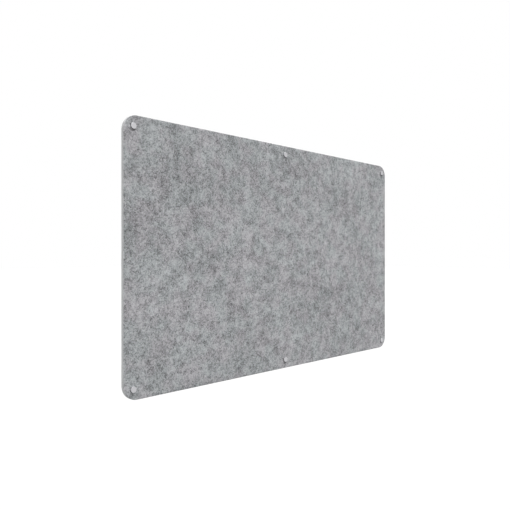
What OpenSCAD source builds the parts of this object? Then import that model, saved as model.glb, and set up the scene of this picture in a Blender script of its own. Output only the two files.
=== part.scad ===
// Acoustic pinboard: a pressed felt panel held off a wall by six stand-off fixings.
// +Z is up and -Y is the front. The wall's face is the plane y = 0, and the origin is
// the centre of the fixing pattern on it. Lengths are in millimetres.

/* [Felt panel] */
// Width of the panel
panel_w = 1500; // [900:10:2400]
// Height of the panel
panel_h = 900; // [500:10:1200]
// Thickness of the pressed felt
panel_t = 12; // [9:1:20]
// Radius of the four rounded corners
corner_r = 50; // [10:1:80]
// Width of the clearance hole for each stud
felt_hole_d = 9; // [8:0.5:12]

/* [Fixing places] */
// Distance from the panel's left and right ends to the nearest fixings
inset_x = 35; // [25:1:80]
// Distance from the panel's top and bottom edges to the fixings
inset_z = 35; // [25:1:80]

/* [Caps] */
// Width of a cap
cap_d = 20; // [16:0.5:24]
// Thickness of a cap
cap_t = 4; // [3.5:0.5:8]
// Bevel round a cap's face
cap_edge = 0.4; // [0.2:0.1:0.8]
// Metal left between a cap's threaded hole and its face
cap_skin = 0.8; // [0.5:0.1:1.5]

/* [Barrels] */
// Width of a barrel
barrel_d = 20; // [16:0.5:24]
// Length of a barrel
barrel_l = 20; // [18:1:40]
// Bevel round a barrel's ends
barrel_edge = 0.4; // [0.2:0.1:0.8]
// Depth of the recess in a barrel's back, over the plug's rim
recess_t = 0.6; // [0.4:0.1:1]
// Space round the plug's rim in that recess
recess_gap = 1; // [0.5:0.1:1.5]

/* [Washers] */
// Width of a washer
washer_d = 18; // [14:0.5:22]
// Thickness of a washer
washer_t = 1; // [0.6:0.1:2]
// Bevel round a washer's rim
washer_edge = 0.2; // [0.1:0.05:0.25]
// Space round the stud inside a washer
washer_gap = 0.25; // [0.15:0.05:0.5]

/* [Studs and bolts] */
// Nominal width of the metal thread on the studs and hanger bolts
thread_d = 6; // [5:0.5:6]
// Space round a threaded piece in its hole
thread_gap = 0.05; // [0.03:0.01:0.08]
// Bevel at the ends of the threaded pieces
thread_edge = 0.5; // [0.3:0.1:0.6]
// How far a stud reaches into its barrel
stud_grip = 8; // [6:0.5:8]
// How far a hanger bolt reaches into its barrel
bolt_grip = 9; // [6:0.5:9]
// Width across the flats of the drive socket in studs and hanger bolts
socket_w = 3; // [2:0.5:3]
// Depth of that socket
socket_t = 3; // [2:0.5:4]
// Reach of a hanger bolt behind the wall's face
bolt_reach = 28; // [24:1:28]
// Length of the point on a hanger bolt
bolt_point = 5; // [3:0.5:8]

/* [Wall plugs] */
// Width of a plug
plug_d = 8; // [7.5:0.1:9]
// Length of a plug
plug_l = 32; // [32:1:60]
// Length of the plug's neck, in front of its slits
plug_neck = 6; // [4:0.5:10]
// Length of the plug's tapered nose
plug_nose = 5; // [3:0.5:6]
// Width of the plug's nose at its tip
plug_tip_d = 5; // [3:0.5:6]
// Thickness of a plug's wall round the wood thread
plug_wall = 1.35; // [1.2:0.05:1.6]
// Width of the slits in a plug
slit_w = 1.2; // [0.6:0.1:1.5]
// Space round the wood thread inside a plug
plug_gap = 0.05; // [0.03:0.01:0.1]
// Depth of the grip grooves round a plug
groove_t = 0.4; // [0.2:0.05:0.5]
// Width of one grip groove
groove_w = 1; // [0.6:0.1:1.2]
// Distance from one grip groove to the next
groove_pitch = 4; // [3:0.5:6]

/* [Hidden] */
// Cuts run past the faces that they break by this much
over = 1;
round_fn = 96;
hole_fn = 48;
socket_fn = 6;

// Stations along a fixing's axis, measured outwards from the wall's face
felt_back = barrel_l + washer_t;
felt_front = felt_back + panel_t;
cap_back = felt_front + washer_t;
stud_back = barrel_l - stud_grip;
stud_front = cap_back + cap_t - cap_skin;
nose_end = plug_nose - plug_l;

// The wood thread of a hanger bolt fills its plug's bore
wood_d = plug_d - 2 * (plug_wall + plug_gap);

// The grip grooves fill the slit part of a plug
groove_count = floor((-nose_end - plug_neck) / groove_pitch) - 1;

// Fixings stand in three columns and two rows, mirrored about the origin
column_x = panel_w / 2 - inset_x;
row_z = panel_h / 2 - inset_z;
columns = [["left", -column_x], ["middle", 0], ["right", column_x]];
rows = [["top", row_z], ["bottom", -row_z]];
sites = [for (row = rows, column = columns)
    [str(row[0], "_", column[0]), column[1], row[1]]];
PIECES = ["cap", "stud", "front_washer", "rear_washer", "barrel", "hanger_bolt", "wall_plug"];

// Places a fixing's pieces, whose Z axis points out of the wall
module at(site) translate([site[1], 0, site[2]]) rotate([90, 0, 0]) children();

// A turned disc or rod with both rims bevelled, from z0 to z1
module turned(d, edge, z0, z1) translate([0, 0, z0]) rotate_extrude($fn = round_fn) polygon([
    [0, 0], [d / 2 - edge, 0], [d / 2, edge],
    [d / 2, z1 - z0 - edge], [d / 2 - edge, z1 - z0], [0, z1 - z0]
]);

// A round hole from z0 to z1
module hole(d, z0, z1) translate([0, 0, z0]) cylinder(d = d, h = z1 - z0, $fn = hole_fn);

// A six-sided drive socket, open at z = 0, that goes down
module socket() translate([0, 0, -socket_t])
    cylinder(d = socket_w / cos(180 / socket_fn), h = socket_t + over, $fn = socket_fn);

module panel_outline() {
    square([panel_w, panel_h - 2 * corner_r], center = true);
    square([panel_w - 2 * corner_r, panel_h], center = true);
    for (x = [-1, 1], y = [-1, 1])
        translate([x * (panel_w / 2 - corner_r), y * (panel_h / 2 - corner_r)])
            circle(r = corner_r, $fn = round_fn);
}

module felt_panel() color("darkgray") rotate([90, 0, 0]) difference() {
    translate([0, 0, felt_back]) linear_extrude(panel_t) panel_outline();
    for (site = sites) translate([site[1], site[2], 0])
        hole(felt_hole_d, felt_back - over, felt_front + over);
}

module cap() color("gainsboro") difference() {
    turned(cap_d, cap_edge, cap_back, cap_back + cap_t);
    hole(thread_d + 2 * thread_gap, cap_back - over, stud_front);
}

module stud() color("silver") difference() {
    turned(thread_d, thread_edge, stud_back, stud_front);
    translate([0, 0, stud_back]) mirror([0, 0, 1]) socket();
}

module washer(z0) color("whitesmoke") difference() {
    turned(washer_d, washer_edge, z0, z0 + washer_t);
    hole(thread_d + 2 * washer_gap, z0 - over, z0 + washer_t + over);
}

module barrel() color("silver") difference() {
    turned(barrel_d, barrel_edge, 0, barrel_l);
    hole(thread_d + 2 * thread_gap, -over, barrel_l + over);
    hole(plug_d + 2 * recess_gap, -over, recess_t);
}

// The metal thread starts at the wall's face, and the wood thread runs back from it to a point
module hanger_bolt() color("lightsteelblue") difference() {
    union() {
        turned(thread_d, thread_edge, 0, bolt_grip);
        translate([0, 0, bolt_point - bolt_reach])
            cylinder(d = wood_d, h = bolt_reach - bolt_point, $fn = hole_fn);
        translate([0, 0, -bolt_reach])
            cylinder(d1 = 0, d2 = wood_d, h = bolt_point, $fn = hole_fn);
    }
    translate([0, 0, bolt_grip]) socket();
}

// A ring that cuts one grip groove, upwards from z = 0
module groove() difference() {
    cylinder(d = plug_d + over, h = groove_w, $fn = round_fn);
    translate([0, 0, -over])
        cylinder(d = plug_d - 2 * groove_t, h = groove_w + 2 * over, $fn = round_fn);
}

module wall_plug() color("slategray") difference() {
    union() {
        translate([0, 0, nose_end]) cylinder(d = plug_d, h = -nose_end, $fn = round_fn);
        translate([0, 0, -plug_l])
            cylinder(d1 = plug_tip_d, d2 = plug_d, h = plug_nose, $fn = round_fn);
    }
    hole(wood_d + 2 * plug_gap, -bolt_reach - thread_edge, over);
    for (turn = [0, 90]) rotate([0, 0, turn]) translate([-plug_d, -slit_w / 2, nose_end])
        cube([2 * plug_d, slit_w, -nose_end - plug_neck]);
    for (i = [1 : 1 : groove_count]) translate([0, 0, -plug_neck - i * groove_pitch]) groove();
}

felt_panel();
for (site = sites) {
    at(site) cap();
    at(site) stud();
    at(site) washer(felt_front);
    at(site) washer(barrel_l);
    at(site) barrel();
    at(site) hanger_bolt();
    at(site) wall_plug();
}
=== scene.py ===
"""Dresses the packed acoustic pinboard: its pressed felt, and the turned fixings that hold it off a wall."""

import math

import bmesh
import bpy
from bpy.props import FloatProperty, FloatVectorProperty, PointerProperty
from mathutils import Matrix, Vector


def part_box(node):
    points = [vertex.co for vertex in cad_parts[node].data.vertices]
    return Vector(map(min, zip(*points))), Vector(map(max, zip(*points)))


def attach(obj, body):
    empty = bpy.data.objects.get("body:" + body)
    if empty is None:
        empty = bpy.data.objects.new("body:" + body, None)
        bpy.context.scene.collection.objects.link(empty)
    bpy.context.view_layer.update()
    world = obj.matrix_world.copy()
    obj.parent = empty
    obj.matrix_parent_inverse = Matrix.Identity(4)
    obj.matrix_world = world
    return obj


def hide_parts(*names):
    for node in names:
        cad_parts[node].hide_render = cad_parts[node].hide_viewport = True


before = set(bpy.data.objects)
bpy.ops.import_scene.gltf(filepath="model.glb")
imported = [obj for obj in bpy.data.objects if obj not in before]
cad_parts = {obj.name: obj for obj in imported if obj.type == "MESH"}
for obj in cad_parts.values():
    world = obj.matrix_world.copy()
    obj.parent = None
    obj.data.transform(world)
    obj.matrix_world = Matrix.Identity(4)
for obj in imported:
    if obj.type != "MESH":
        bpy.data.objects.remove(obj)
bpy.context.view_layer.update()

bl_info = {
    "name": "Acoustic Pinboard",
    "version": (1, 0, 0),
    "blender": (4, 5, 0),
    "location": "3D View > Sidebar > Pinboard",
    "description": "Builds a pressed felt pinboard and the stand-off fixings that hold it",
    "category": "Add Mesh",
}

# The frame gives every size that the solids have. Y runs into the wall, so a fixing's front is its low end.
SITES = sorted(name[len("cap_"):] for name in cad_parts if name.startswith("cap_"))
FELT_LOW, FELT_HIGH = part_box("felt_panel")

TINY = 1e-6  # metres; points nearer than this are one point
OVER = 0.001  # metres; a cutting tool runs past the face that it breaks by this much
ROUND = 96  # sides of the larger turned pieces
FINE = 48  # sides of the small ones
THREAD_STEPS = 32  # steps in one turn of a thread
THREAD_LEAD = 1.5  # turns that a thread starts in front of its rod, which are cut off
THREAD_SPARE = 3  # turns that it has more than its rod
RING_PLAY = 2e-5  # metres; an edge this near a circle lies on it
FACING = 0.9  # a face points along an axis where its normal reaches this far along it
SQUARE_CORNER = math.radians(60)  # an edge that turns by more than this is a square corner of the sheet
BLANK_SHARE = 1.02  # width of the blank that trims a thread, against the thread's width
TIP_SHARE = 0.06  # width of a hanger bolt's blunted tip, against its wood thread's width
CAMERA_REACH = 500  # metres; the camera sees this far
OWN_PLACE = "own_place"  # attribute with a fixing piece's place round its own axis


def node_box(piece):
    """Where the first fixing's solid is, with the fixing's own axis brought to the Y axis."""
    low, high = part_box(f"{piece}_{SITES[0]}")
    middle = (low + high) / 2
    axis = Vector((middle.x, 0, middle.z))
    return low - axis, high - axis


def site_axis(site):
    """The point on the wall that a fixing's axis goes through."""
    low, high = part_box("cap_" + site)
    return Vector(((low.x + high.x) / 2, 0, (low.z + high.z) / 2))


AXES = {site: site_axis(site) for site in SITES}


def length(name, description, default):
    return FloatProperty(
        name=name, description=description, default=default,
        min=0, precision=5, subtype="DISTANCE", unit="LENGTH",
    )


def place_along(name, description, default):
    return FloatProperty(name=name, description=description, default=default, precision=4, unit="LENGTH")


def amount(name, description, default, high=1.0):
    return FloatProperty(name=name, description=description, default=default, min=0, max=high, precision=3)


def angle(name, description, degrees):
    return FloatProperty(
        name=name, description=description, default=math.radians(degrees), subtype="ANGLE", unit="ROTATION"
    )


def colour(name, description, default):
    return FloatVectorProperty(
        name=name, description=description, default=default, size=3, min=0, max=1, subtype="COLOR"
    )


def vector(name, description, default, subtype):
    return FloatVectorProperty(name=name, description=description, default=default, subtype=subtype)


# Sizes and colours


class FeltShape(bpy.types.PropertyGroup):
    """Sizes of the felt panel."""

    width: length("Width", "Width of the panel", FELT_HIGH.x - FELT_LOW.x)
    height: length("Height", "Height of the panel", FELT_HIGH.z - FELT_LOW.z)
    thickness: length("Thickness", "Thickness where the washers clamp it", FELT_HIGH.y - FELT_LOW.y)
    front: place_along("Front", "Where the clamped front face is, along Y", FELT_LOW.y)
    corner_radius: length("Corner radius", "Radius of the four rounded corners", 0.050)
    edge_rounding: length("Edge rounding", "Rounding where a face meets the cut edge", 0.0008)
    hole_width: length("Hole width", "Width of the clearance hole for each stud", 0.009)
    cell: length("Cell", "Spacing of the panel's mesh", 0.010)
    fine_reach: length("Fine reach", "How far round a fixing the mesh is four times as fine", 0.045)
    finest_reach: length("Finest reach", "How far round a fixing it is eight times as fine", 0.018)
    swell: length("Swell", "How far the free felt stands proud of the clamped felt", 0.0003)
    seat_width: length("Seat width", "Width of the flat dimple that a washer presses", 0.0185)
    seat_slope: length("Seat slope", "Width of the slope round that dimple", 0.006)
    waviness: length("Waviness", "Height of the panel's slow waves", 0.0003)
    wave_length: length("Wave length", "Distance between those waves", 0.12)
    nick_size: length("Nick size", "Size of the uneven places in the cut edge", 0.006)
    nick_depth: length("Nick depth", "Depth of those places", 0.00012)


class FeltFinish(bpy.types.PropertyGroup):
    """Colours and pattern of the felt."""

    pale_fibre: colour("Pale fibre", "Colour of the palest fibres", (0.519, 0.524, 0.541))
    dark_fibre: colour("Dark fibre", "Colour of the darkest fibres", (0.085, 0.087, 0.090))
    cool_tint: colour("Cool tint", "Tint of the cooler patches", (0.967, 1.000, 0.989))
    warm_tint: colour("Warm tint", "Tint of the warmer patches", (1.000, 0.976, 0.984))
    # The cut edge's colour is partly the felt's paler core fibre and partly painted light, paler than the
    # fibre itself
    cut_fibre_with_painted_light: colour("Cut edge", "Colour of the fibres in the cut edge", (0.60, 0.605, 0.61))
    pattern_place: vector(
        "Pattern place", "Which part of the endless pattern the panel is cut from",
        (1.7, 0.4, 2.9), "TRANSLATION",
    )
    shade: amount("Shade", "Share of pale fibres", 0.662)
    cloud_size: length("Cloud size", "Size of the largest soft clumps", 0.042)
    cloud: amount("Clouds", "Strength of the soft clumps", 1.06, 4)
    cloud_detail: amount("Cloud detail", "Number of finer sizes of clump", 3.2, 8)
    cloud_balance: amount("Cloud balance", "Strength of each size of clump against the size above it", 0.93)
    drift_size: length("Drift size", "Distance over which the felt's shade drifts", 0.15)
    drift: amount("Drift", "Strength of that drift", 0.38)
    gather: amount("Gather", "How softly the dark tufts gather in the darker clumps", 0.15)
    bend_size: length("Bend size", "Distance between the bends of the tangled fibres", 0.018)
    bend: length("Bend", "How far the tangled fibres bend", 0.009)
    tuft_length: length("Tuft length", "Length of the dark tufts", 0.018)
    tuft_width: length("Tuft width", "Width of the dark tufts", 0.0020)
    tuft: amount("Tufts", "Strength of the dark tufts", 0.76, 4)
    fray: amount("Fray", "How much single fibres break up the edges of the tufts", 0.45)
    grain_size: length("Grain size", "Size of the speckle", 0.0050)
    grain: amount("Grain", "Strength of the speckle", 1.25, 4)
    fibre_length: length("Fibre length", "Length of single fibres", 0.012)
    fibre_width: length("Fibre width", "Width of single fibres", 0.00045)
    fibre: amount("Fibres", "Strength of single fibres", 0.6)
    nap: length("Nap", "Height of the surface's relief", 0.0007)
    tint_size: length("Tint size", "Size of the cooler and warmer patches", 0.065)
    cut_overlap: length("Cut overlap", "How far the cut edge's paler colour reaches past the faces", 0.0001)
    cut_blend: length("Cut blend", "How far in from the faces that colour is full", 0.00048)
    layer_length: length("Layer length", "Length of the layers of fibre in the cut edge", 0.02)
    layer_width: length("Layer width", "Thickness of those layers", 0.0009)
    cut_contrast: amount("Cut contrast", "How far those layers depart from their middle colour", 0.28)


class FixingShape(bpy.types.PropertyGroup):
    """Sizes of the turned and threaded pieces that the solids leave plain."""

    cap_rim: length("Cap rim", "Rounding round a cap's face", 0.0005)
    back_rim: length("Back rim", "Rounding at a cap's back and a barrel's ends", 0.0003)
    washer_rim: length("Washer rim", "Rounding of a washer's edges", 0.0002)
    bore_width: length("Bore width", "Width of the threaded bores in caps and barrels", 0.0061)
    bore_bevel: length("Bore bevel", "Bevel at the mouth of a bore", 0.0004)
    cap_skin: length("Cap skin", "Metal between a cap's bore and its face", 0.0008)
    cap_margin: length("Cap margin", "Width of the outermost flat ring on a cap's face", 0.0006)
    cap_ring: length("Cap ring", "Width of the next ring on that face", 0.0045)
    washer_bore: length("Washer bore", "Width of the hole in a washer", 0.0065)
    recess_width: length("Recess width", "Width of the recess in a barrel's back", 0.010)
    recess_depth: length("Recess depth", "Depth of the recess in a barrel's back", 0.0006)
    pitch: length("Pitch", "Pitch of the metal thread", 0.001)
    thread_depth: length("Thread depth", "Depth of the metal thread", 0.00058)
    thread_bevel: length("Thread bevel", "Bevel at the ends of a threaded piece", 0.0005)
    wood_pitch: length("Wood pitch", "Pitch of the wood thread", 0.0024)
    wood_width: length("Wood width", "Width over the wood thread", 0.0052)
    wood_depth: length("Wood depth", "Depth of the wood thread", 0.0008)
    point: length("Point", "Length of a hanger bolt's point", 0.005)
    socket_width: length("Socket width", "Width across the flats of a drive socket", 0.003)
    socket_depth: length("Socket depth", "Depth of a drive socket", 0.003)
    plug_wall: length("Plug wall", "Thickness of a plug's wall", 0.00135)
    plug_tip: length("Plug tip", "Width of a plug's nose at its tip", 0.005)
    plug_nose: length("Plug nose", "Length of a plug's tapered nose", 0.005)
    plug_neck: length("Plug neck", "Length of a plug in front of its slits", 0.006)
    tip_rounding: length("Tip rounding", "Rounding at the end of a plug's nose", 0.0008)
    mouth_rounding: length("Mouth rounding", "Rounding round a plug's mouth", 0.0003)
    slit: length("Slit", "Width of a plug's slits", 0.0012)
    groove: length("Groove", "Width of one grip groove", 0.001)
    groove_ramp: length("Groove ramp", "Width of the slope at each side of a groove", 0.00012)
    groove_depth: length("Groove depth", "Depth of the grip grooves", 0.0004)
    groove_pitch: length("Groove pitch", "Distance from one grip groove to the next", 0.004)


class FixingFinish(bpy.types.PropertyGroup):
    """Colours and marks of the fixings."""

    cap_metal: colour("Cap metal", "Satin aluminium of the caps", (0.525, 0.522, 0.540))
    cap_roughness: amount("Cap roughness", "Roughness of the caps", 0.42)
    barrel_metal: colour("Barrel metal", "Satin aluminium of the barrels", (0.600, 0.600, 0.610))
    barrel_roughness: amount("Barrel roughness", "Roughness of the barrels", 0.36)
    steel: colour("Steel", "Bright steel of the studs", (0.560, 0.560, 0.570))
    steel_roughness: amount("Steel roughness", "Roughness of the studs", 0.30)
    zinc: colour("Zinc", "Zinc plating of the hanger bolts", (0.520, 0.545, 0.580))
    zinc_roughness: amount("Zinc roughness", "Roughness of the hanger bolts", 0.34)
    clear: colour("Clear plastic", "Tint of the clear washers", (0.900, 0.910, 0.920))
    nylon: colour("Nylon", "Grey nylon of the wall plugs", (0.270, 0.280, 0.290))
    mark_size: length("Mark size", "Spacing of the turning marks on a cap, a stud or a bolt", 0.00022)
    barrel_mark_size: length("Barrel mark size", "Spacing of the turning marks on a barrel", 0.000352)
    mark_depth: length("Mark depth", "Depth of the turning marks", 0.00002)
    smudge_size: length("Smudge size", "Size of the faint smudges on metal", 0.006)
    frost_size: length("Frost size", "Size of the frosting on the washers", 0.0007)
    frost_depth: length("Frost depth", "Depth of that frosting", 0.00003)
    skin_size: length("Skin size", "Size of the grain on nylon", 0.0004)
    skin_depth: length("Skin depth", "Depth of that grain", 0.00005)
    flow_size: length("Flow size", "Size of the flow marks in nylon", 0.003)
    flow_bend: length("Flow bend", "Distance between the bends of those marks", 0.004)


class Studio(bpy.types.PropertyGroup):
    """The camera, the lamps and the floor."""

    camera_place: vector("Camera place", "Where the camera stands", (-1.673, -1.533, 0.0082), "TRANSLATION")
    camera_turn: angle("Camera turn", "How far the camera turns to the right of the board's normal", 45.01)
    lens: FloatProperty(
        name="Lens", description="Focal length on a 36 mm sensor", default=38.99, unit="CAMERA"
    )
    key_from: vector("Key from", "Direction towards the key lamp", (0.05, -0.52, 0.85), "DIRECTION")
    key: amount("Key", "Strength of the key lamp", 3.56, 20)
    key_spread: angle("Key spread", "Angle of the key lamp", 32)
    fill_from: vector("Fill from", "Direction towards the fill lamp", (-0.95, -0.22, 0.22), "DIRECTION")
    fill: amount("Fill", "Strength of the fill lamp", 1.4, 20)
    back_from: vector("Back from", "Direction towards the back lamp", (0.45, 0.86, 0.15), "DIRECTION")
    back: amount("Back", "Strength of the back lamp", 2.2, 20)
    soft_spread: angle("Soft spread", "Angle of the fill lamp and of the back lamp", 60)
    ambient: amount("Ambient", "Brightness of the light from all round", 0.22)
    floor_height: place_along("Floor", "Height of the floor against the fixings' centre", -2.1)
    floor_size: length("Floor size", "Width of the floor", 160)
    floor_colour: colour("Floor colour", "Colour of the floor", (0.3, 0.3, 0.3))
    floor_glow: amount("Floor glow", "What the camera sees added to the floor, so that it is white", 0.62)


GROUPS = {
    "felt_shape": FeltShape,
    "felt_finish": FeltFinish,
    "fixing_shape": FixingShape,
    "fixing_finish": FixingFinish,
    "pinboard_studio": Studio,
}


# Modelling


def pick(*pieces):
    """Selects only those pieces, in object mode, with the first one active."""
    if bpy.context.mode != "OBJECT":
        bpy.ops.object.mode_set(mode="OBJECT")
    bpy.ops.object.select_all(action="DESELECT")
    for piece in reversed(pieces):
        piece.select_set(True)
        bpy.context.view_layer.objects.active = piece


def edit(piece):
    """Opens one piece in edit mode."""
    pick(piece)
    bpy.ops.object.mode_set(mode="EDIT")


def start_piece(name, add, **how):
    """Adds a primitive with one of Blender's operators, and puts its size and place into its mesh."""
    pick()
    add(**how)
    piece = bpy.context.object
    piece.name = piece.data.name = name
    bpy.ops.object.transform_apply(location=True, rotation=True, scale=True)
    return piece


def start_rod(name, width, low, high, vertices=ROUND):
    """Adds a round rod on the Y axis, from low to high."""
    return start_piece(
        name, bpy.ops.mesh.primitive_cylinder_add, vertices=vertices, radius=width / 2, depth=high - low,
        location=(0, (low + high) / 2, 0), rotation=(math.pi / 2, 0, 0),
    )


def select(piece, part, test):
    """Selects only the faces, edges or verts that pass the test."""
    bpy.ops.mesh.select_mode(type={"faces": "FACE", "edges": "EDGE", "verts": "VERT"}[part])
    bpy.ops.mesh.select_all(action="DESELECT")
    shape = bmesh.from_edit_mesh(piece.data)
    for element in getattr(shape, part):
        element.select_set(bool(test(element)))
    shape.select_flush_mode()
    bmesh.update_edit_mesh(piece.data)


def finish_edit(piece, smooth=35):
    """Merges doubles, turns the faces outwards and shades the piece smooth up to an angle in degrees."""
    bpy.ops.mesh.select_all(action="SELECT")
    bpy.ops.mesh.remove_doubles(threshold=TINY)
    bpy.ops.mesh.normals_make_consistent(inside=False)
    bpy.ops.object.mode_set(mode="OBJECT")
    bpy.ops.object.shade_smooth_by_angle(angle=math.radians(smooth))


def extrude(distance):
    """Extrudes the selected faces along Y."""
    bpy.ops.mesh.extrude_region_move(TRANSFORM_OT_translate={"value": (0, distance, 0)})


def slim(share, y):
    """Draws the selected points in towards the Y axis, to that share of their distance."""
    bpy.ops.transform.resize(value=(share, 1, share), center_override=(0, y, 0))


def cut(y, **sides):
    """Cuts the whole open mesh square to the Y axis."""
    bpy.ops.mesh.select_all(action="SELECT")
    bpy.ops.mesh.bisect(plane_co=(0, y, 0), plane_no=(0, 1, 0), threshold=TINY, **sides)


def apply_modifier(piece, kind, **settings):
    """Adds a modifier with those settings and applies it."""
    pick(piece)
    modifier = piece.modifiers.new(kind.lower(), kind)
    for name, value in settings.items():
        setattr(modifier, name, value)
    bpy.ops.object.modifier_apply(modifier=modifier.name)


def combine(piece, tool, operation):
    """Cuts, joins or trims a piece with another, which is used up."""
    apply_modifier(piece, "BOOLEAN", operation=operation, object=tool, solver="EXACT")
    bpy.data.objects.remove(tool)


def radius(point):
    return math.hypot(point.x, point.z)


def on_ring(edge, width, y):
    """Whether an edge lies on the circle of that width at that station."""
    return all(abs(v.co.y - y) < TINY and abs(radius(v.co) - width / 2) < RING_PLAY for v in edge.verts)


def faces_front(face):
    return face.normal.y < -FACING


def faces_back(face):
    return face.normal.y > FACING


def is_disc(face):
    return len(face.verts) == ROUND


def round_rings(piece, rings, offset, segments=1):
    """Bevels the circular edges of those widths and stations, or rounds them with more segments."""
    select(piece, "edges", lambda edge: any(on_ring(edge, width, y) for width, y in rings))
    bpy.ops.mesh.bevel(offset=offset, segments=segments, affect="EDGES")


def settle(piece, body, material, node):
    """Gives a finished piece its material and its body, and hides the solid that it stands for."""
    piece.data.materials.clear()
    piece.data.materials.append(material)
    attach(piece, body)
    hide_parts(node)


def repeat(model, node, body, material):
    """Puts a copy of a modelled fixing piece at each site, with its own place kept as an attribute."""
    mesh = model.data
    own = mesh.attributes.new(OWN_PLACE, "FLOAT_VECTOR", "POINT")
    own.data.foreach_set("vector", [value for vertex in mesh.vertices for value in vertex.co])
    for site, axis in AXES.items():
        copy = bpy.data.objects.new(f"{model.name}_{site}", mesh.copy())
        copy.data.transform(Matrix.Translation(axis))
        bpy.context.scene.collection.objects.link(copy)
        settle(copy, body.format(site), material, f"{node}_{site}")
    bpy.data.objects.remove(model)


# Materials


class Signal:
    """A node's socket that Python expressions can use: each operator adds its Math node."""

    def __init__(self, tree, socket=None):
        self.tree, self.socket = tree, socket

    def node(self, kind, settings=None, inputs=None, output=0):
        """Adds any node: its settings first, then the values or links of its sockets."""
        made = self.tree.nodes.new("ShaderNode" + kind)
        for name, value in (settings or {}).items():
            setattr(made, name, value)
        for name, value in (inputs or {}).items():
            socket = made.inputs[name]
            if isinstance(value, Signal):
                self.tree.links.new(value.socket, socket)
            elif socket.type == "RGBA" and len(value) == 3:
                socket.default_value = (*value, 1)
            else:
                socket.default_value = value
        return Signal(self.tree, made.outputs[output])

    def math(self, operation, *values):
        return self.node("Math", {"operation": operation}, dict(enumerate(values)))

    def vector(self, operation, *values):
        return self.node("VectorMath", {"operation": operation}, dict(enumerate(values)))

    def __add__(self, other):
        return self.math("ADD", self, other)

    def __radd__(self, other):
        return self.math("ADD", other, self)

    def __sub__(self, other):
        return self.math("SUBTRACT", self, other)

    def __rsub__(self, other):
        return self.math("SUBTRACT", other, self)

    def __mul__(self, other):
        return self.math("MULTIPLY", self, other)

    def __rmul__(self, other):
        return self.math("MULTIPLY", other, self)

    def clamped(self):
        """This value, kept between 0 and 1."""
        return self.node("Clamp", inputs={0: self})

    def __abs__(self):
        return self.math("ABSOLUTE", self)

    def step(self, low, high):
        """Rises smoothly from 0 at low to 1 at high, or falls where low is the larger."""
        flip = low > high
        inputs = {0: self, 1: min(low, high), 2: max(low, high), 3: float(flip), 4: float(not flip)}
        return self.node("MapRange", {"interpolation_type": "SMOOTHSTEP"}, inputs)

    def mix(self, first, second):
        """The first colour where this value is 0, and the second where it is 1."""
        return self.node("Mix", {"data_type": "RGBA"}, {0: self, 6: first, 7: second}, 2)

    def blend(self, how, first, second):
        """Two colours, fully blended in one of the Mix node's ways."""
        return self.node("Mix", {"data_type": "RGBA", "blend_type": how}, {0: 1.0, 6: first, 7: second}, 2)

    def axes(self):
        """The three numbers of a vector."""
        parts = self.node("SeparateXYZ", inputs={0: self}).socket.node.outputs
        return [Signal(self.tree, part) for part in parts]

    def noise(self, size, detail=0.0, roughness=0.5, output="Fac"):
        """Soft noise on this vector, with lumps of about that size."""
        inputs = {"Vector": self, "Scale": 1 / size, "Detail": detail, "Roughness": roughness}
        return self.node("TexNoise", inputs=inputs, output=output)

    def bump(self, strength, depth):
        """The surface's normal, with this value as its height."""
        return self.node("Bump", inputs={"Strength": strength, "Distance": depth, "Height": self})

    def warped(self, size, reach):
        """This vector, pushed about by noise of that size, by up to about that reach."""
        push = self.noise(size, detail=1.0, output="Color")
        return self.vector("MULTIPLY_ADD", push, (2 * reach,) * 3, self)

    def strands(self, turn, along, across, detail=0.0):
        """Noise drawn out along a direction in the board's plane, as fibres are."""
        inputs = {"Vector": self, "Rotation": (0, turn, 0), "Scale": (along, across, across)}
        drawn = self.node("Mapping", {"vector_type": "TEXTURE"}, inputs)
        return drawn.noise(1.0, detail, roughness=0.7)


def new_material(name):
    material = bpy.data.materials.new(name)
    material.use_nodes = True
    material.node_tree.nodes.clear()
    return material, Signal(material.node_tree)


def end_with(start, shader):
    output = start.tree.nodes.new("ShaderNodeOutputMaterial")
    start.tree.links.new(shader.socket, output.inputs["Surface"])


def shade_with(start, constants, varying):
    """Ends a material in one shader. Its constants are set on the shader's own sockets."""
    end_with(start, start.node("BsdfPrincipled", inputs={**constants, **varying}))


def around(shade, share):
    """A colour made darker by that share, and made lighter by it."""
    return [value * (1 - share) for value in shade], [min(1.0, value * (1 + share)) for value in shade]


def own_place(start):
    """The place on a fixing's piece, round its own axis."""
    settings = {"attribute_type": "GEOMETRY", "attribute_name": OWN_PLACE}
    return start.node("Attribute", settings, output="Vector")


MIDDLE = 0.5  # the value that noise lies round

# The felt's fibres lie in layers that cross: each one's direction in radians, and where its pattern is cut
LAYER_TURNS = (0.15, 0.95, 1.75, 2.60)
FIRST_LAYER = Vector((0, 0, 0.07))
NEXT_LAYER = Vector((0.31, 0.17, 0.23))

# The strands' value at which a dark tuft starts to show, the value at which it is full, and the share of
# its strength that a tuft keeps in the paler clumps
TUFT_STARTS = 0.55
TUFT_FULL = 0.80
STRAY_TUFTS = 0.3

# The noise's values at which the felt's tint is all cool and all warm
TINT_COOL = 0.35
TINT_WARM = 0.65

# What the layers of fibre and the speckle each add to the shade of the cut edge
CUT_LAYERS = 0.9
CUT_GRAIN = 0.6

# What the single fibres and the speckle each add to the felt's relief, and what the tufts take from it
FIBRE_RELIEF = 0.7
GRAIN_RELIEF = 0.6
TUFT_HOLLOW = 0.25
FELT_BUMP = 0.6  # strength of that relief


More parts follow.
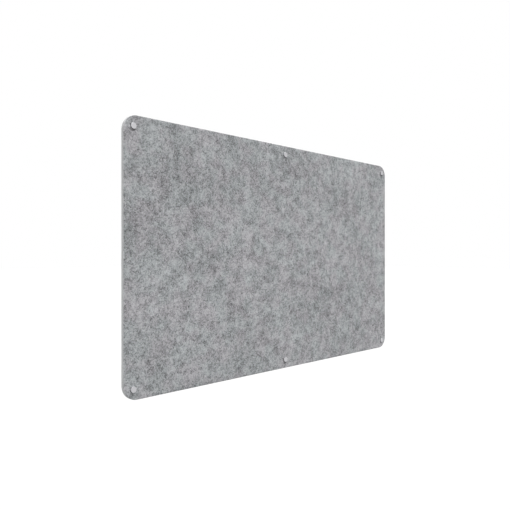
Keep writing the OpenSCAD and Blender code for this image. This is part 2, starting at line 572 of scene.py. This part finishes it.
def felt_fibres(place, finish):
    """The dark tufts and the single fibres, summed over the crossing layers."""
    tufts = fibres = 0.0
    for index, turn in enumerate(LAYER_TURNS):
        layer = place.vector("ADD", place, tuple(FIRST_LAYER + index * NEXT_LAYER))
        layer = layer.warped(finish.bend_size, finish.bend)
        fibre = layer.strands(turn, finish.fibre_length, finish.fibre_width, detail=1.0) - MIDDLE
        tuft = layer.strands(turn, finish.tuft_length, finish.tuft_width, detail=2.0)
        tuft = tuft + fibre * finish.fray
        tufts = tuft.step(TUFT_STARTS, TUFT_FULL) + tufts
        fibres = fibre + fibres
    return tufts, fibres


def felt_material(finish, shape):
    """Heathered felt: soft clumps, tangled dark tufts, speckle and single fibres, and a paler cut edge that
    is partly painted light.
    """
    material, start = new_material("pressed_felt")
    panel = start.node("TexCoord", output="Object")
    place = panel.vector("ADD", panel, tuple(finish.pattern_place))
    bent = place.warped(finish.bend_size, finish.bend)
    clouds = bent.noise(finish.cloud_size, finish.cloud_detail, finish.cloud_balance) - MIDDLE
    drift = place.noise(finish.drift_size, detail=1.0) - MIDDLE
    grain = place.noise(finish.grain_size, detail=2.0, roughness=0.65) - MIDDLE
    tufts, fibres = felt_fibres(place, finish)

    # The tufts gather in the darker clumps, and a few lie elsewhere
    tufts = tufts * (clouds.step(finish.gather, -finish.gather) + STRAY_TUFTS)
    face = clouds * finish.cloud + drift * finish.drift - tufts * finish.tuft
    face = face + grain * finish.grain + fibres * finish.fibre + finish.shade
    face_colour = face.clamped().mix(finish.dark_fibre, finish.pale_fibre)
    warmth = place.noise(finish.tint_size, detail=2.0).step(TINT_COOL, TINT_WARM)
    tint = warmth.mix(finish.cool_tint, finish.warm_tint)
    face_colour = start.blend("MULTIPLY", face_colour, tint)

    # Between the two faces the cut edge shows layers of paler fibre that run along it, and its colour is
    # made paler still as painted light on the cut edge
    half = shape.thickness / 2
    off_middle = abs(panel.axes()[1] - (shape.front + half))
    inside = off_middle.step(half + finish.cut_overlap, half - finish.cut_blend)
    layers = place.strands(0.0, finish.layer_length, finish.layer_width) - MIDDLE
    cut_shade = (layers * CUT_LAYERS + grain * CUT_GRAIN + MIDDLE).clamped()
    cut_colour_with_painted_light = cut_shade.mix(*around(finish.cut_fibre_with_painted_light, finish.cut_contrast))
    height = fibres * FIBRE_RELIEF + grain * GRAIN_RELIEF - tufts * TUFT_HOLLOW
    shade_with(
        start, {"Roughness": 0.95, "Specular IOR Level": 0.12, "Sheen Weight": 0.08, "Sheen Roughness": 0.6},
        {"Base Color": inside.mix(face_colour, cut_colour_with_painted_light), "Normal": height.bump(FELT_BUMP, finish.nap)},
    )
    return material


# What the turning marks and the smudges each add to the metal's shade and to its roughness
MARK_SHADE, SMUDGE_SHADE = 0.35, 0.5
MARK_ROUGHNESS, SMUDGE_ROUGHNESS = 0.2, 0.16
METAL_CONTRAST = 0.06  # how far that shade departs from the metal's colour
MARK_BUMP = 0.25  # strength of the turning marks' relief


def metal_material(name, metal, roughness, mark_size, finish):
    """Satin metal with faint smudges, and with fine turning marks round the piece's own axis."""
    material, start = new_material(name)
    own = own_place(start)
    x, y, z = own.axes()
    out = start.math("SQRT", x * x + z * z)
    marks = start.node("CombineXYZ", inputs={0: out, 1: y}).noise(mark_size, detail=1.0) - MIDDLE
    smudge = own.noise(finish.smudge_size, detail=2.0) - MIDDLE
    shade = marks * MARK_SHADE + smudge * SMUDGE_SHADE + MIDDLE
    shade_with(start, {"Metallic": 1.0}, {
        "Base Color": shade.mix(*around(metal, METAL_CONTRAST)),
        "Roughness": marks * MARK_ROUGHNESS + smudge * SMUDGE_ROUGHNESS + roughness,
        "Normal": marks.bump(MARK_BUMP, finish.mark_depth),
    })
    return material


# The washers' roughness where they are clearest and what the frosting adds to it, how much it darkens them,
# and the strength of its relief
CLEAR_ROUGHNESS, FROST_ROUGHNESS = 0.14, 0.16
FROST_CONTRAST = 0.04
FROST_BUMP = 0.2


def washer_material(finish):
    """Clear plastic, faintly frosted."""
    material, start = new_material("frosted_washer")
    frost = own_place(start).noise(finish.frost_size, detail=2.0)
    darker, _ = around(finish.clear, FROST_CONTRAST)
    shade_with(start, {"Transmission Weight": 0.85, "IOR": 1.49}, {
        "Base Color": frost.mix(darker, finish.clear),
        "Roughness": frost * FROST_ROUGHNESS + CLEAR_ROUGHNESS,
        "Normal": frost.bump(FROST_BUMP, finish.frost_depth),
    })
    return material


# What the flow marks and the skin's grain each add to the nylon's shade
FLOW_SHADE, SKIN_SHADE = 0.6, 0.4
NYLON_CONTRAST = 0.14  # how far that shade departs from the nylon's colour
NYLON_ROUGHNESS, SKIN_ROUGHNESS = 0.4, 0.2  # at its smoothest, and what the skin's grain adds
SKIN_BUMP = 0.35  # strength of that grain's relief


def plug_material(finish):
    """Moulded nylon, with a matt skin and faint flow marks."""
    material, start = new_material("moulded_nylon")
    own = own_place(start)
    skin = own.noise(finish.skin_size, detail=2.0)
    flow = own.warped(finish.flow_bend, finish.flow_bend / 2).noise(finish.flow_size, detail=2.0)
    shade = flow * FLOW_SHADE + skin * SKIN_SHADE
    shade_with(start, {"Specular IOR Level": 0.45}, {
        "Base Color": shade.mix(*around(finish.nylon, NYLON_CONTRAST)),
        "Roughness": skin * SKIN_ROUGHNESS + NYLON_ROUGHNESS,
        "Normal": skin.bump(SKIN_BUMP, finish.skin_depth),
    })
    return material


# Pieces


def refine(board, reach, cuts):
    """Subdivides the sheet's faces that lie within reach of a fixing, across and up."""
    def near(face):
        middle = face.calc_center_median()
        return any(max(abs(middle.x - axis.x), abs(middle.z - axis.z)) < reach for axis in AXES.values())

    select(board, "faces", near)
    bpy.ops.mesh.subdivide(number_cuts=cuts)


def round_corners(board, shape):
    """Draws the sheet's square corners in to quarter circles."""
    pick(board)
    for vertex in board.data.vertices:
        across = abs(vertex.co.x) - (shape.width / 2 - shape.corner_radius)
        up = abs(vertex.co.z) - (shape.height / 2 - shape.corner_radius)
        if across > TINY and up > TINY:
            pull = 1 - max(across, up) / math.hypot(across, up)
            vertex.co.x -= math.copysign(across * pull, vertex.co.x)
            vertex.co.z -= math.copysign(up * pull, vertex.co.z)


def thicken(board, shape):
    """Gives the open sheet its thickness, with two rings round the cut edge and rounded rims."""
    bpy.ops.mesh.select_all(action="SELECT")
    extrude(shape.thickness)
    bpy.ops.mesh.select_all(action="SELECT")
    bpy.ops.mesh.normals_make_consistent(inside=False)
    for share in (1 / 3, 2 / 3):
        cut(shape.front + share * shape.thickness)
    select(board, "edges", lambda edge: edge.calc_face_angle(0) > SQUARE_CORNER)
    bpy.ops.mesh.bevel(offset=shape.edge_rounding, segments=3, affect="EDGES")


def punch_holes(board, shape):
    """Punches the clearance holes for the studs."""
    punches = []
    for axis in AXES.values():
        punch = start_rod(
            "punch", shape.hole_width, shape.front - OVER, shape.front + shape.thickness + OVER, FINE
        )
        punch.data.transform(Matrix.Translation(axis))
        punches.append(punch)
    pick(*punches)
    bpy.ops.object.join()
    combine(board, punches[0], "DIFFERENCE")


def soften(board, shape):
    """Lets the free felt stand proud of the clamped felt and wave a little, and roughens the cut edge."""
    free = board.vertex_groups.new(name="free")
    edge = board.vertex_groups.new(name="cut_edge")
    for vertex in board.data.vertices:
        off = min(radius(vertex.co - axis) for axis in AXES.values()) - shape.seat_width / 2
        rise = min(max(off / shape.seat_slope, 0), 1)
        slope = rise * rise * (3 - 2 * rise)  # it starts and ends evenly
        facing = vertex.normal.y ** 2
        free.add([vertex.index], slope * facing, "REPLACE")
        edge.add([vertex.index], (1 - facing) * (off > 0), "REPLACE")
    waves = bpy.data.textures.new("felt_waves", "CLOUDS")
    waves.noise_scale = shape.wave_length
    nicks = bpy.data.textures.new("cut_nicks", "CLOUDS")
    nicks.noise_scale = shape.nick_size
    for group, texture, reach, middle in (
        (free, None, shape.swell, 0), (free, waves, shape.waviness, 0.5), (edge, nicks, shape.nick_depth, 1)
    ):
        apply_modifier(
            board, "DISPLACE", texture=texture, strength=reach, mid_level=middle, vertex_group=group.name
        )
    board.vertex_groups.clear()


class PINBOARD_OT_felt(bpy.types.Operator):
    """Build the pressed felt panel, with its rounded corners, holes and washer dimples"""

    bl_idname = "pinboard.felt"
    bl_label = "Felt panel"

    def execute(self, context):
        shape = context.scene.felt_shape
        board = start_piece(
            "pressed_felt", bpy.ops.mesh.primitive_grid_add, size=1,
            x_subdivisions=round(shape.width / shape.cell), y_subdivisions=round(shape.height / shape.cell),
            rotation=(math.pi / 2, 0, 0), location=(0, shape.front, 0),
        )
        edit(board)
        bpy.ops.transform.resize(value=(shape.width, 1, shape.height), center_override=(0, 0, 0))
        refine(board, shape.fine_reach, cuts=3)
        round_corners(board, shape)
        edit(board)
        refine(board, shape.finest_reach, cuts=1)
        thicken(board, shape)
        punch_holes(board, shape)
        soften(board, shape)
        edit(board)
        finish_edit(board, smooth=40)
        settle(board, "board", felt_material(context.scene.felt_finish, shape), "felt_panel")
        return {"FINISHED"}


class PINBOARD_OT_caps(bpy.types.Operator):
    """Build the turned caps, with their blind bores"""

    bl_idname = "pinboard.caps"
    bl_label = "Caps"

    def execute(self, context):
        shape, finish = context.scene.fixing_shape, context.scene.fixing_finish
        low, high = node_box("cap")
        width = high.x - low.x
        cap = start_rod("turned_cap", width, low.y, high.y)
        edit(cap)
        select(cap, "faces", faces_back)
        bpy.ops.mesh.inset(thickness=(width - shape.bore_width) / 2)
        extrude(low.y + shape.cap_skin - high.y)
        round_rings(cap, [(width, low.y)], shape.cap_rim, segments=5)
        round_rings(cap, [(width, high.y)], shape.back_rim, segments=3)
        round_rings(cap, [(shape.bore_width, high.y)], shape.bore_bevel)
        select(cap, "faces", lambda face: is_disc(face) and faces_front(face))
        for ring in (shape.cap_margin, shape.cap_ring):
            bpy.ops.mesh.inset(thickness=ring)
        finish_edit(cap)
        material = metal_material(
            "satin_cap", finish.cap_metal, finish.cap_roughness, finish.mark_size, finish
        )
        repeat(cap, "cap", "turning_cap_{}", material)
        return {"FINISHED"}


def add_washer(name, node, shape):
    """A flat ring with rounded edges."""
    low, high = node_box(node)
    width = high.x - low.x
    washer = start_rod(name, width, low.y, high.y)
    edit(washer)
    select(washer, "faces", lambda face: faces_front(face) or faces_back(face))
    bpy.ops.mesh.inset(thickness=(width - shape.washer_bore) / 2)
    bpy.ops.mesh.bridge_edge_loops()
    rims = [(wide, y) for wide in (width, shape.washer_bore) for y in (low.y, high.y)]
    round_rings(washer, rims, shape.washer_rim, segments=3)
    finish_edit(washer)
    return washer


class PINBOARD_OT_washers(bpy.types.Operator):
    """Build the clear washers in front of the felt and behind it"""

    bl_idname = "pinboard.washers"
    bl_label = "Washers"

    def execute(self, context):
        shape = context.scene.fixing_shape
        material = washer_material(context.scene.fixing_finish)
        front = add_washer("clear_front_washer", "front_washer", shape)
        repeat(front, "front_washer", "loose_washer_{}", material)
        rear = add_washer("clear_rear_washer", "rear_washer", shape)
        repeat(rear, "rear_washer", "board", material)
        return {"FINISHED"}


class PINBOARD_OT_barrels(bpy.types.Operator):
    """Build the bored barrels that hold the felt off the wall"""

    bl_idname = "pinboard.barrels"
    bl_label = "Barrels"

    def execute(self, context):
        shape, finish = context.scene.fixing_shape, context.scene.fixing_finish
        low, high = node_box("barrel")
        width = high.x - low.x
        floor = high.y - shape.recess_depth
        barrel = start_rod("turned_barrel", width, low.y, high.y)
        edit(barrel)
        select(barrel, "faces", faces_back)
        bpy.ops.mesh.inset(thickness=(width - shape.recess_width) / 2)
        extrude(-shape.recess_depth)
        bpy.ops.mesh.inset(thickness=(shape.recess_width - shape.bore_width) / 2)
        select(barrel, "faces", faces_front)
        bpy.ops.mesh.inset(thickness=(width - shape.bore_width) / 2)
        select(barrel, "faces", is_disc)
        bpy.ops.mesh.bridge_edge_loops()
        round_rings(barrel, [(width, low.y), (width, high.y)], shape.back_rim, segments=3)
        round_rings(barrel, [(shape.bore_width, low.y), (shape.bore_width, floor)], shape.bore_bevel)
        round_rings(barrel, [(shape.recess_width, high.y)], shape.bore_bevel / 2)
        finish_edit(barrel)
        material = metal_material(
            "satin_barrel", finish.barrel_metal, finish.barrel_roughness, finish.barrel_mark_size, finish
        )
        repeat(barrel, "barrel", "board", material)
        return {"FINISHED"}


def threaded_rod(name, width, depth, pitch, low, high, crest_share=0.14, root_share=0.06):
    """A rod on the Y axis with a right-hand thread, cut square at both ends."""
    outer, inner = width / 2, width / 2 - depth
    first, crest, root = low - THREAD_LEAD * pitch, crest_share * pitch / 2, root_share * pitch
    section = [
        (inner, 0), (inner, root), (outer, pitch / 2 - crest), (outer, pitch / 2 + crest),
        (inner, pitch - root), (inner, pitch),
    ]
    mesh = bpy.data.meshes.new(name)
    line = [(out, first + along, 0) for out, along in section]
    mesh.from_pydata(line, [(i, i + 1) for i in range(len(line) - 1)], [])
    rod = bpy.data.objects.new(name, mesh)
    bpy.context.scene.collection.objects.link(rod)
    apply_modifier(
        rod, "SCREW", axis="Y", screw_offset=pitch,
        iterations=math.ceil((high - low) / pitch) + THREAD_SPARE,
        steps=THREAD_STEPS, render_steps=THREAD_STEPS, use_merge_vertices=True, merge_threshold=TINY,
    )
    edit(rod)
    bpy.ops.mesh.select_all(action="SELECT")
    bpy.ops.mesh.remove_doubles(threshold=TINY)
    cut(low, use_fill=True, clear_inner=True)
    cut(high, use_fill=True, clear_outer=True)
    finish_edit(rod, smooth=30)
    return rod


def start_blank(width, low, high, bevelled, bevel):
    """A rod just over a threaded piece's width, bevelled at some of its ends and left open in edit mode."""
    wide = width * BLANK_SHARE
    blank = start_rod("blank", wide, low, high, FINE)
    edit(blank)
    round_rings(blank, [(wide, y) for y in bevelled], bevel)
    return blank


def trim(piece, blank):
    """Keeps what lies inside the blank."""
    finish_edit(blank)
    combine(piece, blank, "INTERSECT")


def cut_socket(piece, width, depth, y, way):
    """Cuts a six-sided drive socket from a face at y into the piece, along Y by the sign of way."""
    start, end = y - way * OVER, y + way * depth
    tool = start_rod("socket", width / math.cos(math.pi / 6), min(start, end), max(start, end), 6)
    combine(piece, tool, "DIFFERENCE")


class PINBOARD_OT_studs(bpy.types.Operator):
    """Build the threaded studs that are fixed in the caps"""

    bl_idname = "pinboard.studs"
    bl_label = "Studs"

    def execute(self, context):
        shape, finish = context.scene.fixing_shape, context.scene.fixing_finish
        low, high = node_box("stud")
        width = high.x - low.x
        stud = threaded_rod("threaded_stud", width, shape.thread_depth, shape.pitch, low.y, high.y)
        trim(stud, start_blank(width, low.y, high.y, (low.y, high.y), shape.thread_bevel))
        cut_socket(stud, shape.socket_width, shape.socket_depth, high.y, -1)
        edit(stud)
        finish_edit(stud, smooth=30)
        material = metal_material(
            "bright_stud", finish.steel, finish.steel_roughness, finish.mark_size, finish
        )
        repeat(stud, "stud", "turning_cap_{}", material)
        return {"FINISHED"}


class PINBOARD_OT_hanger_bolts(bpy.types.Operator):
    """Build the hanger bolts, with a metal thread in front and a wood thread behind"""

    bl_idname = "pinboard.hanger_bolts"
    bl_label = "Hanger bolts"

    def execute(self, context):
        shape, finish = context.scene.fixing_shape, context.scene.fixing_finish
        low, high = node_box("hanger_bolt")
        width = high.x - low.x
        bolt = threaded_rod("threaded_hanger_bolt", width, shape.thread_depth, shape.pitch, low.y, 0)
        wood = threaded_rod(
            "wood_thread", shape.wood_width, shape.wood_depth, shape.wood_pitch,
            -OVER, high.y, crest_share=0.08,
        )
        combine(bolt, wood, "UNION")

        # The blank is slim round the wood thread and runs to a point
        point = high.y - shape.point
        blank = start_blank(width, low.y, high.y, (low.y,), shape.thread_bevel)
        cut(point)
        select(blank, "verts", lambda vertex: vertex.co.y > point - TINY)
        slim(shape.wood_width / width, high.y)
        select(blank, "verts", lambda vertex: vertex.co.y > high.y - TINY)
        slim(TIP_SHARE, high.y)
        trim(bolt, blank)
        cut_socket(bolt, shape.socket_width, shape.socket_depth, low.y, 1)
        edit(bolt)
        finish_edit(bolt, smooth=30)
        material = metal_material(
            "zinc_plating", finish.zinc, finish.zinc_roughness, finish.mark_size, finish
        )
        repeat(bolt, "hanger_bolt", "board", material)
        return {"FINISHED"}


def grooved_plug(shape, width, mouth, nose, tip):
    """A plug without its bore, from its mouth to its tip, with grip grooves and a tapered nose."""
    plug = start_rod("ribbed_wall_plug", width, mouth, tip)
    edit(plug)
    roots = []
    grooves = math.floor((nose - mouth - shape.plug_neck) / shape.groove_pitch + TINY) - 1
    for index in range(1, grooves + 1):
        back = mouth + shape.plug_neck + index * shape.groove_pitch
        front = back - shape.groove
        root = [front + shape.groove_ramp, back - shape.groove_ramp]
        roots += root
        for y in (front, *root, back):
            cut(y)
    cut(nose)
    select(plug, "verts", lambda vertex: any(abs(vertex.co.y - y) < TINY for y in roots))
    slim(1 - 2 * shape.groove_depth / width, 0)
    select(plug, "verts", lambda vertex: vertex.co.y > tip - TINY)
    slim(shape.plug_tip / width, tip)
    round_rings(plug, [(shape.plug_tip, tip)], shape.tip_rounding, segments=4)
    round_rings(plug, [(width, mouth)], shape.mouth_rounding, segments=2)
    finish_edit(plug)
    return plug


class PINBOARD_OT_wall_plugs(bpy.types.Operator):
    """Build the slit and grooved wall plugs"""

    bl_idname = "pinboard.wall_plugs"
    bl_label = "Wall plugs"

    def execute(self, context):
        shape = context.scene.fixing_shape
        low, high = node_box("wall_plug")
        width = high.x - low.x
        nose = high.y - shape.plug_nose
        plug = grooved_plug(shape, width, low.y, nose, high.y)
        bore_end = node_box("hanger_bolt")[1].y + shape.thread_bevel
        bore = start_rod("bore", width - 2 * shape.plug_wall, low.y - OVER, bore_end, FINE)
        combine(plug, bore, "DIFFERENCE")
        neck = low.y + shape.plug_neck
        for turn in (0, math.pi / 2):
            slit = start_piece(
                "slit", bpy.ops.mesh.primitive_cube_add, size=1, scale=(2 * width, nose - neck, shape.slit),
                location=(0, (neck + nose) / 2, 0), rotation=(0, turn, 0),
            )
            combine(plug, slit, "DIFFERENCE")
        edit(plug)
        finish_edit(plug, smooth=30)
        repeat(plug, "wall_plug", "board", plug_material(context.scene.fixing_finish))
        return {"FINISHED"}


# The stage


def add_sun(name, towards, strength, spread):
    lamp = bpy.data.lights.new(name, "SUN")
    lamp.energy = strength
    lamp.angle = spread
    sun = bpy.data.objects.new(name, lamp)
    sun.rotation_euler = Vector(towards).to_track_quat("Z", "Y").to_euler()
    bpy.context.scene.collection.objects.link(sun)


def seen_directly(start):
    """1 for what is seen, also in metal and through clear plastic, and 0 for the light on the object."""
    path = start.node("LightPath").socket.node.outputs
    camera, glossy, through = (
        Signal(start.tree, path[name]) for name in ("Is Camera Ray", "Is Glossy Ray", "Is Transmission Ray")
    )
    return (camera + glossy + through).clamped()


class PINBOARD_OT_studio(bpy.types.Operator):
    """Set up the floor, the lamps, the pale surroundings and the camera"""

    bl_idname = "pinboard.studio"
    bl_label = "Studio"

    def execute(self, context):
        scene = context.scene
        studio = scene.pinboard_studio
        scene.view_settings.view_transform = "Standard"

        floor = start_piece(
            "floor", bpy.ops.mesh.primitive_plane_add,
            size=studio.floor_size, location=(0, 0, studio.floor_height),
        )
        material, start = new_material("pale_floor")
        lit = start.node("BsdfDiffuse", inputs={"Color": studio.floor_colour})
        glow = start.node("Emission", inputs={"Strength": seen_directly(start) * studio.floor_glow})
        end_with(start, start.node("AddShader", inputs={0: lit, 1: glow}))
        floor.data.materials.append(material)

        world = bpy.data.worlds.new("pale_surroundings")
        world.use_nodes = True
        world.node_tree.nodes.clear()
        start = Signal(world.node_tree)
        ambient = (studio.ambient,) * 3
        shade = seen_directly(start).mix(ambient, (1, 1, 1))
        background = start.node("Background", inputs={"Color": shade})
        output = world.node_tree.nodes.new("ShaderNodeOutputWorld")
        world.node_tree.links.new(background.socket, output.inputs["Surface"])
        scene.world = world

        add_sun("key", studio.key_from, studio.key, studio.key_spread)
        add_sun("fill", studio.fill_from, studio.fill, studio.soft_spread)
        add_sun("back", studio.back_from, studio.back, studio.soft_spread)

        lens = bpy.data.cameras.new("camera")
        lens.lens = studio.lens
        lens.clip_end = CAMERA_REACH
        camera = bpy.data.objects.new("camera", lens)
        camera.location = studio.camera_place
        camera.rotation_euler = (math.pi / 2, 0, -studio.camera_turn)
        scene.collection.objects.link(camera)
        scene.camera = camera
        return {"FINISHED"}


class PINBOARD_PT_sidebar(bpy.types.Panel):
    """Lists the pieces and their sizes and colours"""

    bl_idname = "PINBOARD_PT_sidebar"
    bl_label = "Pinboard"
    bl_space_type = "VIEW_3D"
    bl_region_type = "UI"
    bl_category = "Pinboard"

    def draw(self, context):
        for operator in OPERATORS:
            self.layout.operator(operator.bl_idname)
        for name, group in GROUPS.items():
            box = self.layout.box()
            box.label(text=group.__doc__)
            for setting in group.__annotations__:
                box.prop(getattr(context.scene, name), setting)


OPERATORS = (
    PINBOARD_OT_felt,
    PINBOARD_OT_caps,
    PINBOARD_OT_washers,
    PINBOARD_OT_studs,
    PINBOARD_OT_barrels,
    PINBOARD_OT_hanger_bolts,
    PINBOARD_OT_wall_plugs,
    PINBOARD_OT_studio,
)
CLASSES = (*GROUPS.values(), *OPERATORS, PINBOARD_PT_sidebar)


def register():
    for item in CLASSES:
        bpy.utils.register_class(item)
    for name, group in GROUPS.items():
        setattr(bpy.types.Scene, name, PointerProperty(type=group))


def unregister():
    for name in GROUPS:
        delattr(bpy.types.Scene, name)
    for item in reversed(CLASSES):
        bpy.utils.unregister_class(item)


def main():
    register()
    bpy.ops.pinboard.felt()
    bpy.ops.pinboard.caps()
    bpy.ops.pinboard.washers()
    bpy.ops.pinboard.studs()
    bpy.ops.pinboard.barrels()
    bpy.ops.pinboard.hanger_bolts()
    bpy.ops.pinboard.wall_plugs()
    bpy.ops.pinboard.studio()


if __name__ == "__main__":
    main()
